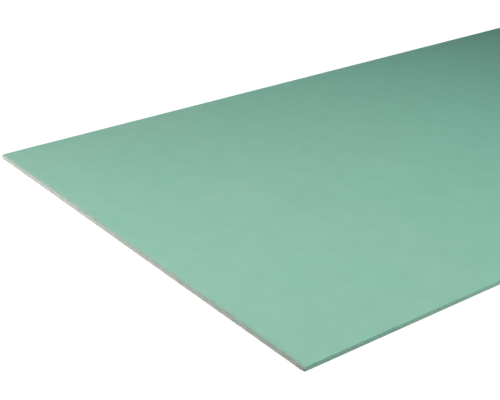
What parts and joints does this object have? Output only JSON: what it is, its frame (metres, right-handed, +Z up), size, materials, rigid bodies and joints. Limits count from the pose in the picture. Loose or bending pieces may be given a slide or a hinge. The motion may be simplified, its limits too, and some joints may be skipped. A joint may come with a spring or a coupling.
{
  "type": "drywall sheet",
  "caption": "Flat rectangular moisture-resistant drywall sheet: gypsum core between papers, tapered long edges wrapped in green face paper, bare core at the cut ends.",
  "frame": {"origin": "centre of the back paper's flat underside, on the surface that the sheet lies on", "axes": "+X along the sheet's length, +Y across its width, +Z up out of the green face"},
  "size_m": [2.4, 1.2, 0.0125],
  "materials": {
    "gypsum": "matte",
    "face_paper": "matte",
    "back_paper": "matte"
  },
  "bodies": {
    "root": {"gypsum_core": "gypsum", "face_paper": "face_paper", "back_paper": "back_paper"}
  },
  "joints": []
}
